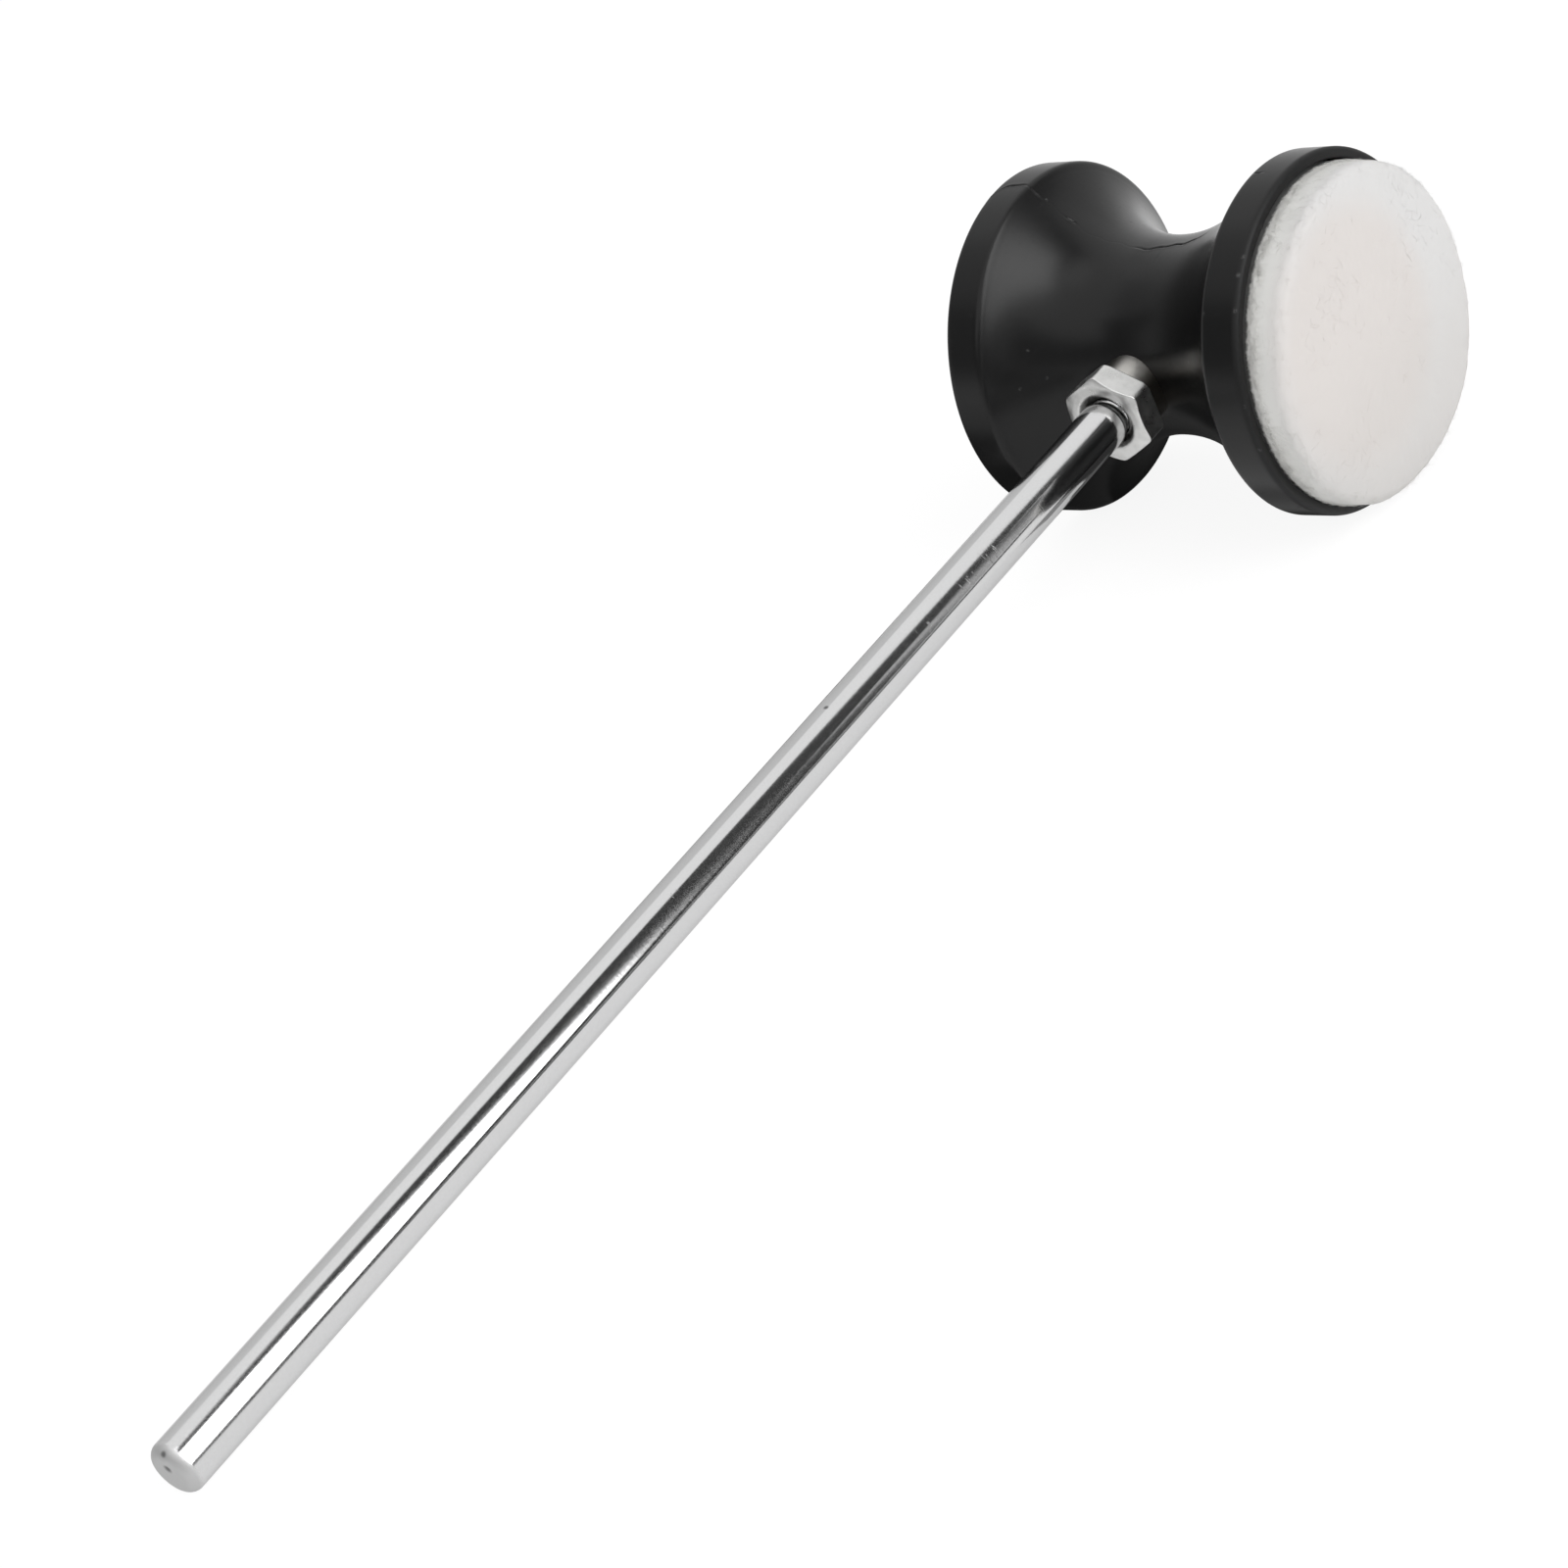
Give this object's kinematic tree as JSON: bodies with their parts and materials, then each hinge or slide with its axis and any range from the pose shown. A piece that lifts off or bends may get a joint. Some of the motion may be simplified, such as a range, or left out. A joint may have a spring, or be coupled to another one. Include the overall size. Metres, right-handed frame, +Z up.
{
  "type": "bass drum beater",
  "caption": "Two-way bass drum beater: chromed rod screwed into a black moulded spool head with a felt disc on one face, locked by a thin hex nut.",
  "frame": {"origin": "on the rod's axis, 16 mm in from its free end, in the middle of the stretch that a pedal's clamp grips", "axes": "+X along the rod from the clamp to the head, +Z up with the beater lying down, felt face towards -Y"},
  "size_m": [0.2126, 0.0478, 0.0432],
  "materials": {
    "chromed_rod": "bright chrome plate on steel",
    "plated_nut": "bright zinc plate",
    "plated_insert": "turned, nickel plated",
    "moulded_plastic": "satin moulded",
    "white_felt": "pressed wool felt",
    "glue": "dried contact glue"
  },
  "bodies": {
    "shaft": {"shaft": "chromed_rod"},
    "head": {"beater_head": "moulded_plastic", "threaded_insert": "plated_insert", "felt_pad": "white_felt", "felt_glue": "glue"},
    "lock_nut": {"lock_nut": "plated_nut"}
  },
  "joints": [
    {"name": "head_turn", "type": "hinge", "parent": "shaft", "child": "head", "pos_m": [0.175, 0, 0], "axis": [1, 0, 0], "range_deg": [0, 180]},
    {"name": "nut_turn", "type": "hinge", "parent": "shaft", "child": "lock_nut", "pos_m": [0.15625, 0, 0], "axis": [1, 0, 0], "range_deg": [0, 180]}
  ]
}
